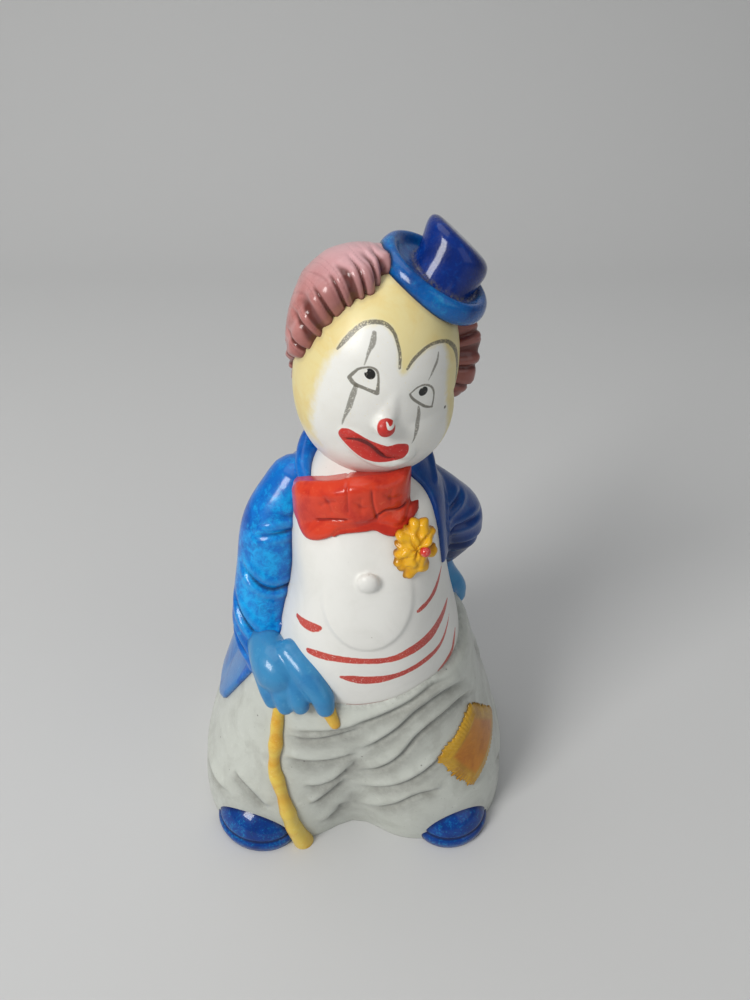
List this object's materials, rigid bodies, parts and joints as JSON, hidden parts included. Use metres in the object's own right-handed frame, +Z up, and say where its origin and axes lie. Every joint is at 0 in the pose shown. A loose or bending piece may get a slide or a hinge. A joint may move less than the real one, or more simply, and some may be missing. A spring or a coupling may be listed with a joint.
{
  "type": "clown bell figurine",
  "caption": "Hollow porcelain bell figurine of a sad clown in a tilted top hat, bow tie and baggy trousers, holding a cane, with a clapper hung inside.",
  "frame": {"origin": "on the table, under the middle of the figure's bounding box", "axes": "+Z up, the clown faces -Y, its left side is towards +X"},
  "size_m": [0.0824, 0.0654, 0.1498],
  "materials": {
    "painted_glaze": "hand-painted under a clear gloss glaze",
    "steel_wire": "drawn, dulled",
    "bisque": "unglazed"
  },
  "bodies": {
    "bell": {"clown_bell": "painted_glaze"},
    "clapper": {"clapper_wire": "steel_wire", "clapper_ball": "bisque"}
  },
  "joints": [
    {"name": "clapper_swing", "type": "hinge", "parent": "bell", "child": "clapper", "pos_m": [0.00152, 0.0007, 0.0793], "axis": [0, 1, 0], "range_deg": [-25, 25]}
  ]
}
